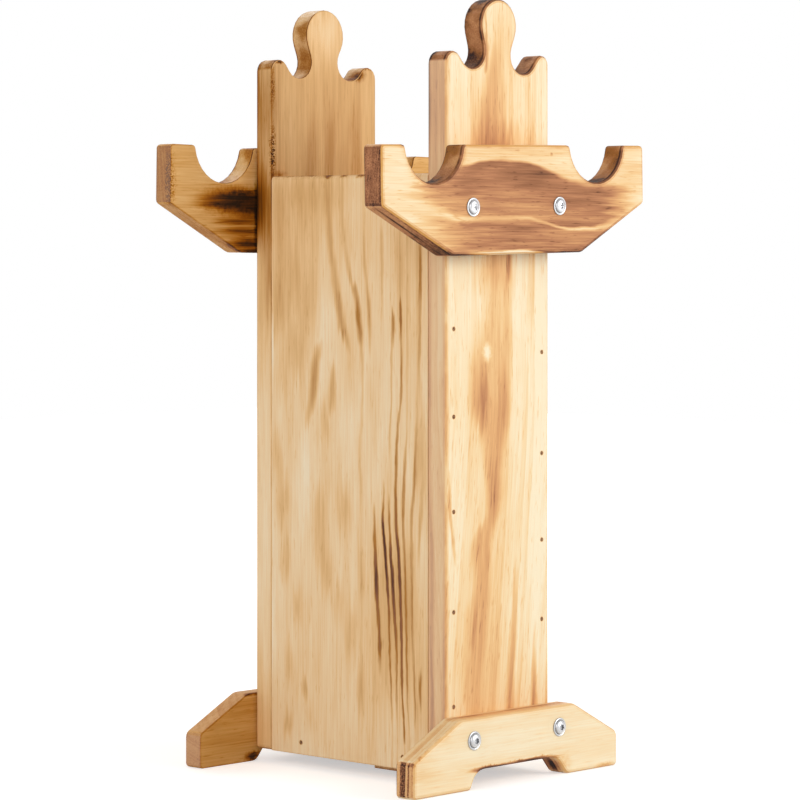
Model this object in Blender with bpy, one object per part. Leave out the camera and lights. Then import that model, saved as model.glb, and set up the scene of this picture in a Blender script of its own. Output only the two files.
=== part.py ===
"""Archery bow stand.

An open-topped arrow well of softwood boards stands on two arched feet. Each end board rises
into a rounded finial, and carries a cross bar with two U-shaped notches for the bows.

X runs along the bars, Y from the front board to the rear board, Z up. The origin lies on the
ground under the middle of the stand. Lengths are in metres. The rear end is made in the same
frame as the front end, and turned half round.
"""
import math

import bmesh
import bpy
from mathutils import Matrix, Vector

for leftover in list(bpy.data.objects):
    bpy.data.objects.remove(leftover, do_unlink=True)

MM = 0.001

# Boards and box
BOARD = 19 * MM            # planed thickness of every board
GAP = 0.3 * MM             # left between touching pieces
BOX_WIDTH = 123.8 * MM     # width of the end boards
BOX_DEPTH = 213.8 * MM     # over both end boards
BOX_X = -1.43 * MM         # the well sits this far left of the stand's middle
BOX_BOTTOM = 10.5 * MM     # the box hangs this high between the feet
PANEL_TOP = 483.0 * MM     # top edge of the side panels
FLOOR_BOTTOM = 11.3 * MM
EDGE_OUT = 3.1 * MM        # rounding on the outer edges
EDGE_IN = 1.0 * MM         # rounding on the edges that face the box
CORNER = 3.4 * MM          # small corners seen from the front

# Bow bars
BAR_LENGTH = 314.2 * MM
BAR_HEIGHT = 86.7 * MM
BAR_TOP = 505.9 * MM
BAR_END = 47.5 * MM        # height of the square ends, above the slanting lower corners
BAR_LOW = 155.3 * MM       # length of the straight lower edge
NOTCH_X = 97.1 * MM
NOTCH_R = 32.9 * MM
NOTCH_RISE = 2.7 * MM      # centre of the notch circle above the bar's top edge
LIP_R = 3.3 * MM
BAR_SCREW_X = 51.8 * MM
BAR_SCREW_SLIP = -0.7 * MM  # middle of the two screws, from the middle of the box
BAR_SCREW_DROP = 48.9 * MM

# Feet
FOOT_LENGTH = 244.3 * MM
FOOT_HEIGHT = 56.2 * MM
FOOT_END = 28.1 * MM       # height of the square ends
FOOT_TOP = 136 * MM        # length of the straight top edge
ARCH_HEIGHT = 15 * MM
FOOT_SCREW_X = 51 * MM
FOOT_SCREW_SLIP = 0.8 * MM
FOOT_SCREW_Z = 39 * MM

# Cleat under the floor
CLEAT_BOTTOM = 4.3 * MM
CLEAT_FRONT = 50 * MM      # distances from the front board's outer face
CLEAT_REAR = 95.8 * MM

# Fasteners
SCREW_LENGTH = 60 * MM
SCREW_R = 2.4 * MM
SCREW_BORE_R = 2.8 * MM
HEAD_R = 7.4 * MM
HEAD_HEIGHT = 3.0 * MM
RECESS_DEPTH = 1.6 * MM
NAIL_LENGTH = 40 * MM
NAIL_R = 0.9 * MM
NAIL_HEAD_R = 1.35 * MM
NAIL_SUNK = 0.6 * MM       # the nails are punched this far below the surface
NAIL_BORE_R = 1.25 * MM
NAIL_MOUTH_R = 1.7 * MM
NAIL_MOUTH = 2.6 * MM      # depth of the wider mouth that the punch leaves

# The hand-fitted bars and feet sit a little off centre, and the bars a little off level, as
# seen from their own side
BAR_OFFSET = {"front": 2.1 * MM, "rear": -0.6 * MM}
BAR_TILT = {"front": math.radians(1.09), "rear": math.radians(0.88)}
FOOT_OFFSET = {"front": 3.2 * MM, "rear": 1.9 * MM}

# Nails, in millimetres: distance from the middle of the box to the right, and heights
NAILS = {
    "front_nail_left": (-52.7, (63.7, 138.0, 216.8, 291.4, 360.5)),
    "front_nail_right": (52.7, (124.3, 188.5, 258.4, 340.0)),
    "rear_nail_left": (-52.5, (62.0, 136.0, 212.0, 288.0, 362.0)),
    "rear_nail_right": (52.5, (62.0, 136.0, 212.0, 288.0, 362.0)),
}
FLOOR_NAIL_Y = {"front": -60.3 * MM, "rear": 53.6 * MM}
FLOOR_NAIL_Z = 20.5 * MM

# Facets
CHORD = 0.16 * MM          # how far a facet may leave its arc
OUT_STEPS = 3
IN_STEPS = 2
SCREW_SIDES = 16
NAIL_SIDES = 8

# Colours
WOOD_PALE = (0.80, 0.60, 0.36)
WOOD_TAN = (0.68, 0.46, 0.25)
WOOD_SHADE = (0.42, 0.23, 0.10)
ZINC = (0.72, 0.72, 0.74)
NAIL_STEEL = (0.16, 0.12, 0.09)


# Working functions

def paint(obj, colour, roughness, metallic=0.0):
    """Give an object its own plain material."""
    material = bpy.data.materials.new(obj.name + "_material")
    material.use_nodes = True
    shader = material.node_tree.nodes["Principled BSDF"]
    shader.inputs["Base Color"].default_value = (*colour, 1.0)
    shader.inputs["Roughness"].default_value = roughness
    shader.inputs["Metallic"].default_value = metallic
    material.diffuse_color = (*colour, 1.0)
    obj.data.materials.append(material)


def add_object(name, bm, matrix=Matrix()):
    """Turn a bmesh into a named object with its faces pointing out."""
    bmesh.ops.recalc_face_normals(bm, faces=bm.faces)
    mesh = bpy.data.meshes.new(name)
    bm.to_mesh(mesh)
    bm.free()
    mesh.shade_smooth()
    mesh.set_sharp_from_angle(angle=math.radians(35))
    obj = bpy.data.objects.new(name, mesh)
    obj.matrix_world = matrix
    bpy.context.collection.objects.link(obj)
    return obj


def cut_out(obj, name, bm, matrix=Matrix()):
    """Cut the bodies of a bmesh out of an object."""
    cutter = add_object(name, bm, matrix)
    cutter.hide_render = True
    cutter.display_type = "WIRE"
    modifier = obj.modifiers.new(name, "BOOLEAN")
    modifier.operation = "DIFFERENCE"
    modifier.solver = "EXACT"
    modifier.object = cutter


def fillet(before, corner, after, radius):
    """The circle (x, z, radius, turn) that rounds the corner between two straight edges."""
    corner = Vector(corner)
    back = (Vector(before) - corner).normalized()
    ahead = (Vector(after) - corner).normalized()
    half = back.angle(ahead) / 2
    centre = corner + (back + ahead).normalized() * (radius / math.sin(half))
    turn = 1 if back.x * ahead.y - back.y * ahead.x < 0 else -1
    return (centre.x, centre.y, radius, turn)


def rounded(corners):
    """Circles for a polygon, given as (x, z, radius) anticlockwise from the front."""
    circles = []
    for i, (x, z, radius) in enumerate(corners):
        before = corners[i - 1][:2]
        after = corners[(i + 1) % len(corners)][:2]
        circles.append(fillet(before, (x, z), after, radius))
    return circles


def belt(circles, inset=0.0):
    """Closed outline that runs round a ring of circles, like a belt round pulleys.

    A circle with turn 1 is a rounded corner and one with turn -1 is a hollow. The straight
    stretches are the tangents between neighbours. The outline runs anticlockwise.
    """
    normals = []
    runs = []
    for here, there in zip(circles, circles[1:] + circles[:1]):
        dx = there[0] - here[0]
        dz = there[1] - here[1]
        reach = math.hypot(dx, dz)
        ratio = (here[3] * here[2] - there[3] * there[2]) / reach
        ratio = max(-1.0, min(1.0, ratio))
        normals.append(math.atan2(dz, dx) - math.acos(ratio))
        runs.append(reach * math.sqrt(1 - ratio * ratio))
    points = []
    for i, (x, z, radius, turn) in enumerate(circles):
        start = normals[i - 1]
        sweep = turn * ((turn * (normals[i] - start)) % math.tau)
        if abs(sweep) > math.tau - 0.001:
            sweep = 0.0
        facet = 2 * math.acos(1 - min(0.5, CHORD / radius))
        steps = max(1, math.ceil(abs(sweep) / facet))
        first = 1 if runs[i - 1] < 0.05 * MM else 0
        reach = turn * radius - inset
        for k in range(first, steps + 1):
            angle = start + sweep * k / steps
            points.append((x + reach * math.cos(angle), z + reach * math.sin(angle)))
    return points


def edge_rings(edge, steps):
    """Depth below a face and inset from the outline, along a rounded edge."""
    if edge == 0:
        return [(0.0, 0.0)]
    rings = []
    for k in range(steps + 1):
        angle = math.pi / 2 * k / steps
        rings.append((edge * (1 - math.cos(angle)), edge * (1 - math.sin(angle))))
    return rings


def slab(circles, face, back, face_edge=0.0, back_edge=0.0):
    """Board cut to an outline in XZ, from y = face to y = back, with rounded edges."""
    rings = [(face + depth, inset) for depth, inset in edge_rings(face_edge, OUT_STEPS)]
    rings += [(back - depth, inset) for depth, inset in reversed(edge_rings(back_edge, IN_STEPS))]
    bm = bmesh.new()
    loops = []
    for y, inset in rings:
        loops.append([bm.verts.new((x, y, z)) for x, z in belt(circles, inset)])
    bm.faces.new(loops[0])
    bm.faces.new(reversed(loops[-1]))
    for near, far in zip(loops, loops[1:]):
        for i in range(len(near)):
            bm.faces.new((near[i - 1], near[i], far[i], far[i - 1]))
    return bm


def turned(bm, profile, sides, matrix=Matrix()):
    """Add a closed body turned about Y. The profile lists (y, radius), and starts and ends at 0."""
    rings = []
    for y, radius in profile:
        if radius == 0:
            rings.append([bm.verts.new(matrix @ Vector((0, y, 0)))])
            continue
        angles = [math.tau * (k + 0.5) / sides for k in range(sides)]
        points = [Vector((radius * math.cos(a), y, radius * math.sin(a))) for a in angles]
        rings.append([bm.verts.new(matrix @ point) for point in points])
    for near, far in zip(rings, rings[1:]):
        for k in range(sides):
            corners = [near[k % len(near)], near[(k + 1) % len(near)]]
            corners += [far[(k + 1) % len(far)], far[k % len(far)]]
            bm.faces.new(dict.fromkeys(corners))


# Placement. A fastener's matrix has its origin where the fastener enters the wood, and its +Y
# points into the wood.

def end_frame(end):
    """The frame of one end: its outer face looks along -Y, and +X is its own right."""
    return Matrix.Rotation(math.pi if end == "rear" else 0.0, 4, "Z")


def box_x(end):
    """Middle of the box along X, in the frame of one end."""
    return -BOX_X if end == "rear" else BOX_X


def bar_matrix(end):
    """The bar's frame: the middle of its top edge, on its inner face."""
    move = Matrix.Translation((box_x(end) + BAR_OFFSET[end], -BOX_DEPTH / 2 - GAP, BAR_TOP))
    return end_frame(end) @ move @ Matrix.Rotation(-BAR_TILT[end], 4, "Y")


def foot_matrix(end):
    """The foot's frame: the ground under its middle, on its inner face."""
    move = Matrix.Translation((box_x(end) + FOOT_OFFSET[end], -BOX_DEPTH / 2 - GAP, 0))
    return end_frame(end) @ move


def side_of(matrix):
    return "left" if matrix.translation.x < 0 else "right"


screws = {}
for end in ("front", "rear"):
    for right in (-1, 1):
        along = right * BAR_SCREW_X + BAR_SCREW_SLIP - BAR_OFFSET[end]
        entry = bar_matrix(end) @ Matrix.Translation((along, -BOARD, -BAR_SCREW_DROP))
        screws[end + "_bar_screw_" + side_of(entry)] = entry
        along = right * FOOT_SCREW_X + FOOT_SCREW_SLIP - FOOT_OFFSET[end]
        entry = foot_matrix(end) @ Matrix.Translation((along, -BOARD, FOOT_SCREW_Z))
        screws[end + "_foot_screw_" + side_of(entry)] = entry

nails = {}
for row, (x, heights) in NAILS.items():
    end = row.split("_")[0]
    for number, height in enumerate(heights, 1):
        own_x = (x * MM + BOX_X) * (-1 if end == "rear" else 1)
        entry = Matrix.Translation((own_x, -BOX_DEPTH / 2, height * MM))
        nails[row + "_" + str(number)] = end_frame(end) @ entry
for label, side in (("left", -1), ("right", 1)):
    for where, y in FLOOR_NAIL_Y.items():
        entry = Matrix.Translation((BOX_X + side * BOX_WIDTH / 2, y, FLOOR_NAIL_Z))
        entry = entry @ Matrix.Rotation(side * math.pi / 2, 4, "Z")
        nails["floor_nail_" + label + "_" + where] = entry

SCREW_BORE = [
    (-1 * MM, 0),
    (-1 * MM, SCREW_BORE_R),
    (SCREW_LENGTH + 0.6 * MM, SCREW_BORE_R),
    (SCREW_LENGTH + 0.6 * MM, 0),
]
NAIL_BORE = [
    (-1 * MM, 0),
    (-1 * MM, NAIL_MOUTH_R),
    (NAIL_MOUTH, NAIL_MOUTH_R),
    (NAIL_MOUTH + 0.4 * MM, NAIL_BORE_R),
    (NAIL_SUNK + NAIL_LENGTH + 0.6 * MM, NAIL_BORE_R),
    (NAIL_SUNK + NAIL_LENGTH + 0.6 * MM, 0),
]


def bore(obj, *words):
    """Cut the bores of the fasteners whose names hold one of the words out of a board."""
    bm = bmesh.new()
    for name, matrix in screws.items():
        if any(word in name for word in words):
            turned(bm, SCREW_BORE, SCREW_SIDES, matrix)
    for name, matrix in nails.items():
        if any(word in name for word in words):
            turned(bm, NAIL_BORE, NAIL_SIDES, matrix)
    cut_out(obj, obj.name + "_bores", bm)


# End boards: straight sides, small round shoulders, scooped notches, and a round head on a
# narrow neck. They were cut by hand, so the two differ a little. Circles are (x, z, radius) in
# millimetres, and a shoulder is its top and its radius.

def end_board_outline(right_shoulder, right_notch, head, left_notch, left_shoulder):
    half = BOX_WIDTH / 2
    shoulders = []
    for side, (top, radius) in ((1, right_shoulder), (-1, left_shoulder)):
        shoulders.append((side * (half - radius * MM), (top - radius) * MM, radius * MM, 1))
    middle = []
    for (x, z, radius), turn in ((right_notch, -1), (head, 1), (left_notch, -1)):
        middle.append((x * MM, z * MM, radius * MM, turn))
    return [
        (-half + CORNER, BOX_BOTTOM + CORNER, CORNER, 1),
        (half - CORNER, BOX_BOTTOM + CORNER, CORNER, 1),
        shoulders[0],
        *middle,
        shoulders[1],
    ]


END_OUTLINES = {
    "front": end_board_outline(
        right_shoulder=(579.7, 7.4),
        right_notch=(30.8, 578.2, 14.2),
        head=(1.6, 601.2, 21.6),
        left_notch=(-30.1, 581.2, 14.5),
        left_shoulder=(579.2, 9.9),
    ),
    "rear": end_board_outline(
        right_shoulder=(579.6, 9.6),
        right_notch=(29.2, 579.4, 14.4),
        head=(-1.1, 601.3, 21.8),
        left_notch=(-31.0, 579.8, 14.8),
        left_shoulder=(577.1, 9.7),
    ),
}

for end, outline in END_OUTLINES.items():
    matrix = end_frame(end) @ Matrix.Translation((box_x(end), -BOX_DEPTH / 2, 0))
    board = add_object(end + "_board", slab(outline, 0, BOARD, EDGE_OUT, EDGE_IN), matrix)
    bore(board, end + "_nail", end + "_bar", end + "_foot")
    paint(board, WOOD_PALE, 0.45)


# Bow bars: square ends, slanting lower corners and two round notches with eased lips

half = BAR_LENGTH / 2
low = BAR_LOW / 2
lower = rounded([
    (-half, 0, CORNER),
    (-half, -BAR_END, 4 * MM),
    (-low, -BAR_HEIGHT, 7 * MM),
    (low, -BAR_HEIGHT, 7 * MM),
    (half, -BAR_END, 4 * MM),
    (half, 0, CORNER),
])
lip_drop = NOTCH_RISE + LIP_R
lip_reach = math.sqrt((NOTCH_R + LIP_R) ** 2 - lip_drop ** 2)
notches = []
for x in (NOTCH_X, -NOTCH_X):
    notches.append((x + lip_reach, -LIP_R, LIP_R, 1))
    notches.append((x, NOTCH_RISE, NOTCH_R, -1))
    notches.append((x - lip_reach, -LIP_R, LIP_R, 1))

for end, colour in (("front", WOOD_PALE), ("rear", WOOD_TAN)):
    body = slab(lower + notches, -BOARD, 0, EDGE_OUT, EDGE_IN)
    bar = add_object(end + "_bow_bar", body, bar_matrix(end))
    bore(bar, end + "_bar")
    paint(bar, colour, 0.42)


# Feet: square ends, sloping shoulders, and a low arch that is cut steeper on the left

half = FOOT_LENGTH / 2
top = FOOT_TOP / 2
upper = rounded([
    (half, 0, CORNER),
    (half, FOOT_END, 6 * MM),
    (top, FOOT_HEIGHT, 10 * MM),
    (-top, FOOT_HEIGHT, 10 * MM),
    (-half, FOOT_END, 6 * MM),
    (-half, 0, CORNER),
])
arch = [
    (-58.3 * MM, 3.4 * MM, 3.4 * MM, 1),
    (-39.7 * MM, 0.0, ARCH_HEIGHT, -1),
    (40.3 * MM, ARCH_HEIGHT - 12 * MM, 12 * MM, -1),
    (62.3 * MM, 8.0 * MM, 8.0 * MM, 1),
]

for end in ("front", "rear"):
    body = slab(upper + arch, -BOARD, 0, EDGE_OUT, EDGE_IN)
    foot = add_object(end + "_foot", body, foot_matrix(end))
    bore(foot, end + "_foot")
    paint(foot, WOOD_PALE, 0.42)


# Side panels: they stand between the end boards, flush with their edges, and only their top
# edges are rounded

inner = BOX_DEPTH / 2 - BOARD - GAP
for label, side in (("left", -1), ("right", 1)):
    half = BOARD / 2
    outline = rounded([
        (-half, BOX_BOTTOM, EDGE_IN),
        (half, BOX_BOTTOM, EDGE_IN),
        (half, PANEL_TOP, EDGE_OUT),
        (-half, PANEL_TOP, EDGE_OUT),
    ])
    matrix = Matrix.Translation((BOX_X + side * (BOX_WIDTH - BOARD) / 2, 0, 0))
    panel = add_object(label + "_side_panel", slab(outline, -inner, inner), matrix)
    bore(panel, "nail_" + label, "screw_" + label)
    paint(panel, WOOD_TAN, 0.5)


# Floor of the arrow well, between the panels and the end boards, nailed through the panels

half = BOX_WIDTH / 2 - BOARD - GAP
outline = rounded([
    (-half, FLOOR_BOTTOM, 0.8 * MM),
    (half, FLOOR_BOTTOM, 0.8 * MM),
    (half, FLOOR_BOTTOM + BOARD, 0.8 * MM),
    (-half, FLOOR_BOTTOM + BOARD, 0.8 * MM),
])
floor = add_object("floor_board", slab(outline, -inner, inner), Matrix.Translation((BOX_X, 0, 0)))
bore(floor, "floor_nail")
paint(floor, WOOD_TAN, 0.6)


# Thin cleat across the floor's underside, glued on behind the front foot

outline = rounded([
    (-half, CLEAT_BOTTOM, 1 * MM),
    (half, CLEAT_BOTTOM, 1 * MM),
    (half, FLOOR_BOTTOM - GAP, 1 * MM),
    (-half, FLOOR_BOTTOM - GAP, 1 * MM),
])
near = CLEAT_FRONT - BOX_DEPTH / 2
far = CLEAT_REAR - BOX_DEPTH / 2
cleat = add_object("floor_cleat", slab(outline, near, far), Matrix.Translation((BOX_X, 0, 0)))
paint(cleat, WOOD_SHADE, 0.7)


# Screws: a wide flange round a low dome, with a cross recess on the bars and a star on the feet

def recess(kind):
    """Tapered cutter for a driver recess, from above the head down to the recess's floor."""
    if kind == "cross":
        reach = 2.4 * MM
        side = 0.45 * MM
        arm = [Vector((reach, -side)), Vector((reach, side)), Vector((side, side))]
        turns = [Matrix.Rotation(quarter * math.pi / 2, 2) for quarter in range(4)]
        ring = [turn @ point for turn in turns for point in arm]
        taper = 0.75
    else:
        ring = []
        for k in range(12):
            radius = 2.3 * MM if k % 2 == 0 else 1.65 * MM
            angle = math.tau * k / 12
            ring.append(Vector((radius * math.cos(angle), radius * math.sin(angle))))
        taper = 0.92
    bm = bmesh.new()
    above = -GAP - HEAD_HEIGHT - 1 * MM
    floor_y = -GAP - HEAD_HEIGHT + RECESS_DEPTH
    near = [bm.verts.new((p.x, above, p.y)) for p in ring]
    far = [bm.verts.new((p.x * taper, floor_y, p.y * taper)) for p in ring]
    bm.faces.new(near)
    bm.faces.new(reversed(far))
    for i in range(len(ring)):
        bm.faces.new((near[i - 1], near[i], far[i], far[i - 1]))
    return bm


HEAD_PROFILE = [
    (3.0, 0),
    (2.9, 2.2),
    (2.5, 3.9),
    (1.7, 5.1),
    (1.2, 5.5),
    (0.8, 7.4),
    (0.0, 7.3),
]
screw_profile = [(-GAP - height * MM, radius * MM) for height, radius in HEAD_PROFILE]
screw_profile += [
    (-GAP, SCREW_R),
    (SCREW_LENGTH - 6 * MM, SCREW_R),
    (SCREW_LENGTH, 0),
]
for name, matrix in screws.items():
    body = bmesh.new()
    turned(body, screw_profile, SCREW_SIDES)
    screw = add_object(name, body, matrix)
    cut_out(screw, name + "_recess", recess("cross" if "bar" in name else "star"), matrix)
    paint(screw, ZINC, 0.28, 1.0)


# Nails: round wire with a small head, punched just below the surface

nail_profile = [
    (NAIL_SUNK, 0),
    (NAIL_SUNK, NAIL_HEAD_R),
    (NAIL_SUNK + 1.0 * MM, NAIL_HEAD_R),
    (NAIL_SUNK + 1.6 * MM, NAIL_R),
    (NAIL_SUNK + NAIL_LENGTH - 3 * MM, NAIL_R),
    (NAIL_SUNK + NAIL_LENGTH, 0),
]
for name, matrix in nails.items():
    body = bmesh.new()
    turned(body, nail_profile, NAIL_SIDES)
    nail = add_object(name, body, matrix)
    paint(nail, NAIL_STEEL, 0.5, 0.8)
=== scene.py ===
import math

import bpy
from mathutils import Matrix, Vector


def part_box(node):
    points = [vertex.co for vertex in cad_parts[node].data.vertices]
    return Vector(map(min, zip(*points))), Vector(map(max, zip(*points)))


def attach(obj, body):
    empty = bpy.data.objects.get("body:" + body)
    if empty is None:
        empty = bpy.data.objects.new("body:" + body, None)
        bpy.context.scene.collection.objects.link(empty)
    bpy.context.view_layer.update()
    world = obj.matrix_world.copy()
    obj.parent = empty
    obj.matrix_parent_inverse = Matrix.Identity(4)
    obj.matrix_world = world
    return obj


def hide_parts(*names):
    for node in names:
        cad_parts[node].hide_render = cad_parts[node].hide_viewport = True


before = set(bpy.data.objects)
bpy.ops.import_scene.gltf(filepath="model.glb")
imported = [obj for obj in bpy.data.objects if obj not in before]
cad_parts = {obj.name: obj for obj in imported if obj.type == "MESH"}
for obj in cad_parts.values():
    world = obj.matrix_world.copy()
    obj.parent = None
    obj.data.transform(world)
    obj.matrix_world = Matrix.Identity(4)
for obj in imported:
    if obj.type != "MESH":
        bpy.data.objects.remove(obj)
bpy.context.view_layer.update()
bpy.ops.object.select_all(action="DESELECT")


# Camera: level, at two thirds of the stand's height, with a long lens. It looks at the corner
# between the left side and the front, and is shifted down so that the feet are in the picture.

camera = bpy.data.objects.new("camera", bpy.data.cameras.new("camera"))
bpy.context.scene.collection.objects.link(camera)
camera.location = (-1.97118, -1.8586, 0.42247)
camera.rotation_euler = (math.radians(90), 0, math.radians(-46.65))
camera.data.sensor_width = 36
camera.data.lens = 148.846
camera.data.shift_y = -0.1875
bpy.context.scene.camera = camera
bpy.context.scene.view_settings.view_transform = "Standard"


# Studio: a white sweep under soft daylight lamps, the main one at the front right. Only what
# the camera or a reflection sees of the sweep is lifted to white, so it keeps the shadow.

def add(tree, kind, inputs=(), **settings):
    """Add a shader node. Its inputs are values, or outputs of other nodes."""
    node = tree.nodes.new(kind)
    for name, value in settings.items():
        setattr(node, name, value)
    for name, value in dict(inputs).items():
        if isinstance(value, bpy.types.NodeSocket):
            tree.links.new(value, node.inputs[name])
        else:
            node.inputs[name].default_value = value
    return node


def maths(tree, operation, *values):
    """The result of one sum."""
    return add(tree, "ShaderNodeMath", enumerate(values), operation=operation).outputs[0]


def vectors(tree, operation, *values, output=0):
    """The result of one sum with vectors."""
    return add(tree, "ShaderNodeVectorMath", enumerate(values), operation=operation).outputs[output]


def seen(tree):
    """1 for what the camera, a reflection or a clear piece sees, and 0 for the light that falls."""
    path = add(tree, "ShaderNodeLightPath").outputs
    either = maths(tree, "MAXIMUM", path["Is Camera Ray"], path["Is Glossy Ray"])
    return maths(tree, "MAXIMUM", either, path["Is Transmission Ray"])


def new_material(name):
    """A material, and its node tree, which is still empty."""
    material = bpy.data.materials.new(name)
    material.use_nodes = True
    material.node_tree.nodes.clear()
    return material, material.node_tree


world = bpy.data.worlds.new("studio")
bpy.context.scene.world = world
world.use_nodes = True
tree = world.node_tree
tree.nodes.clear()
ambient = add(tree, "ShaderNodeBackground", {"Color": (1.0, 0.985, 0.96, 1), "Strength": 0.42})
white = add(tree, "ShaderNodeBackground", {"Color": (1, 1, 1, 1), "Strength": 1.0})
sky = add(tree, "ShaderNodeMixShader", {0: seen(tree), 1: ambient.outputs[0], 2: white.outputs[0]})
add(tree, "ShaderNodeOutputWorld", {"Surface": sky.outputs[0]})

# In metres from the stand's middle: near it the paper is half lifted, and far off fully
HALF_LIFTED = 0.35
FULLY_LIFTED = 1.2

bpy.ops.mesh.primitive_plane_add(size=9, location=(0, 0, 0))
sweep = bpy.context.object
sweep.name = "studio_floor"
paper, tree = new_material("studio_paper")
matt = add(tree, "ShaderNodeBsdfDiffuse", {"Color": (0.80, 0.80, 0.80, 1)})
place = add(tree, "ShaderNodeTexCoord").outputs["Object"]
far = vectors(tree, "LENGTH", place, output=1)
glow = add(tree, "ShaderNodeMapRange", {0: far, 1: HALF_LIFTED, 2: FULLY_LIFTED, 3: 0.5, 4: 1.0}).outputs[0]
lift = add(tree, "ShaderNodeEmission", {"Strength": maths(tree, "MULTIPLY", seen(tree), glow)})
both = add(tree, "ShaderNodeAddShader", {0: matt.outputs[0], 1: lift.outputs[0]})
add(tree, "ShaderNodeOutputMaterial", {"Surface": both.outputs[0]})
sweep.data.materials.append(paper)

middle_of_stand = Vector((0, 0, 0.3))
for name, place, size, power, colour in (
    ("key", (1.5, -2.9, 1.4), 2.0, 58, (1.0, 0.995, 0.965)),
    ("fill", (-3.0, -1.2, 1.5), 2.2, 43, (1.0, 0.965, 0.955)),
    ("back", (1.0, 3.0, 2.2), 2.0, 34, (1.0, 1.0, 1.0)),
):
    lamp = bpy.data.objects.new(name, bpy.data.lights.new(name, "AREA"))
    bpy.context.scene.collection.objects.link(lamp)
    lamp.data.shape = "SQUARE"
    lamp.data.size = size
    lamp.data.energy = power
    lamp.data.color = colour
    lamp.location = place
    lamp.rotation_euler = (Vector(place) - middle_of_stand).to_track_quat("Z", "Y").to_euler()


# End boards: 19 mm pine on edge, band-sawn at the top into a round finial between two scoops.
# The maker torches the pine, rounds its edges and varnishes it clear. They are nailed to the
# side panels' edges.

MM = 0.001


def times(tree, first, *others):
    """The product of two or more values."""
    for other in others:
        first = maths(tree, "MULTIPLY", first, other)
    return first


def split(tree, vector):
    """The three parts of a place or a direction."""
    return add(tree, "ShaderNodeSeparateXYZ", {0: vector}).outputs


def moved(tree, place, across=0.0, along=0.0):
    """A place on a board, moved across its width and along its grain."""
    step = add(tree, "ShaderNodeCombineXYZ", {0: across, 2: along}).outputs[0]
    return vectors(tree, "ADD", place, step)


def fade(tree, value, start, end, low=0.0, high=1.0):
    """Goes smoothly from low to high while the value goes from start to end."""
    inputs = {0: value, 1: start, 2: end, 3: low, 4: high}
    return add(tree, "ShaderNodeMapRange", inputs, interpolation_type="SMOOTHSTEP").outputs[0]


def blend(tree, factor, low, high):
    """Low where the factor is 0, and high where it is 1."""
    return add(tree, "ShaderNodeMix", {0: factor, 2: low, 3: high}).outputs[0]


def tint(tree, factor, below, above):
    """The colour below where the factor is 0, and the colour above where it is 1."""
    return add(tree, "ShaderNodeMix", {0: factor, 6: below, 7: above}, data_type="RGBA").outputs[2]


def over(tree, below, above):
    """Two scorches on one place: they darken it together, but never past black."""
    both = maths(tree, "ADD", below, above)
    return maths(tree, "SUBTRACT", both, times(tree, below, above))


def noise(tree, place, stretch, scale, detail=2.0, output="Fac"):
    """Soft noise, with its own stretch along each axis."""
    place = vectors(tree, "MULTIPLY", place, stretch)
    inputs = {"Vector": place, "Scale": scale, "Detail": detail}
    return add(tree, "ShaderNodeTexNoise", inputs).outputs[output]


def centred(tree, value, amount):
    """A noise that goes from 0 to 1, turned to swing round 0 by an amount."""
    return times(tree, maths(tree, "SUBTRACT", value, 0.5), amount)


def new_group(name, inputs, outputs):
    """An empty node group with named inputs and outputs."""
    tree = bpy.data.node_groups.new(name, "ShaderNodeTree")
    for label, value in inputs.items():
        kind = "NodeSocketVector" if isinstance(value, tuple) else "NodeSocketFloat"
        tree.interface.new_socket(label, in_out="INPUT", socket_type=kind).default_value = value
    for label in outputs:
        tree.interface.new_socket(label, in_out="OUTPUT", socket_type="NodeSocketFloat")
    return tree, tree.nodes.new("NodeGroupInput").outputs, tree.nodes.new("NodeGroupOutput")


def placed(tree, group, **values):
    """A node group placed in a material, whose inputs are named with _ for a space."""
    values = {label.replace("_", " "): value for label, value in values.items()}
    return add(tree, "ShaderNodeGroup", values, node_tree=group).outputs


# Year rings round the pith, which runs along Z, with wandering grain, and fine fibres
PINE, into, out = new_group(
    "pine_grain",
    {"Place": (0, 0, 0), "Pith": (0, 0, 0), "Ring Width": 0.006, "Wander": 0.006, "Seed": (0, 0, 0)},
    ["Rings", "Streaks", "Fibre", "Flecks", "Blotches"],
)
place = vectors(PINE, "ADD", into["Place"], into["Seed"])
slow = noise(PINE, place, (1, 1, 0.45), 9, 1.0, "Color")
quick = noise(PINE, place, (1, 1, 0.35), 38, 2.0, "Color")
bend = add(PINE, "ShaderNodeMix", {0: 0.22, 4: slow, 5: quick}, data_type="VECTOR").outputs[1]
bend = vectors(PINE, "SUBTRACT", bend, (0.5, 0.5, 0.5))
bend = add(PINE, "ShaderNodeVectorMath", {0: bend, "Scale": into["Wander"]}, operation="SCALE").outputs[0]
off = vectors(PINE, "SUBTRACT", into["Place"], into["Pith"])
off = vectors(PINE, "ADD", off, vectors(PINE, "MULTIPLY", bend, (4, 4, 0)))
radius = vectors(PINE, "LENGTH", vectors(PINE, "MULTIPLY", off, (1, 1, 0)), output=1)
years = maths(PINE, "DIVIDE", radius, into["Ring Width"])
uneven = {"W": times(PINE, years, 0.6), "Scale": 1.0, "Detail": 1.0}
uneven = add(PINE, "ShaderNodeTexNoise", uneven, noise_dimensions="1D").outputs[0]
years = maths(PINE, "ADD", years, times(PINE, uneven, 1.6))
share = maths(PINE, "FRACT", years)
year = add(PINE, "ShaderNodeTexWhiteNoise", {"W": maths(PINE, "FLOOR", years)}, noise_dimensions="1D").outputs[0]
ring = times(
    PINE, fade(PINE, share, 0.25, 0.9), fade(PINE, share, 0.9, 1.0, 1.0, 0.0), fade(PINE, year, 0.0, 1.0, 0.35, 1.0)
)
PINE.links.new(ring, out.inputs["Rings"])
PINE.links.new(noise(PINE, place, (1, 1, 0.07), 120, 3.0), out.inputs["Streaks"])
PINE.links.new(noise(PINE, place, (1, 1, 0.03), 800, 2.0), out.inputs["Fibre"])
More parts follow.
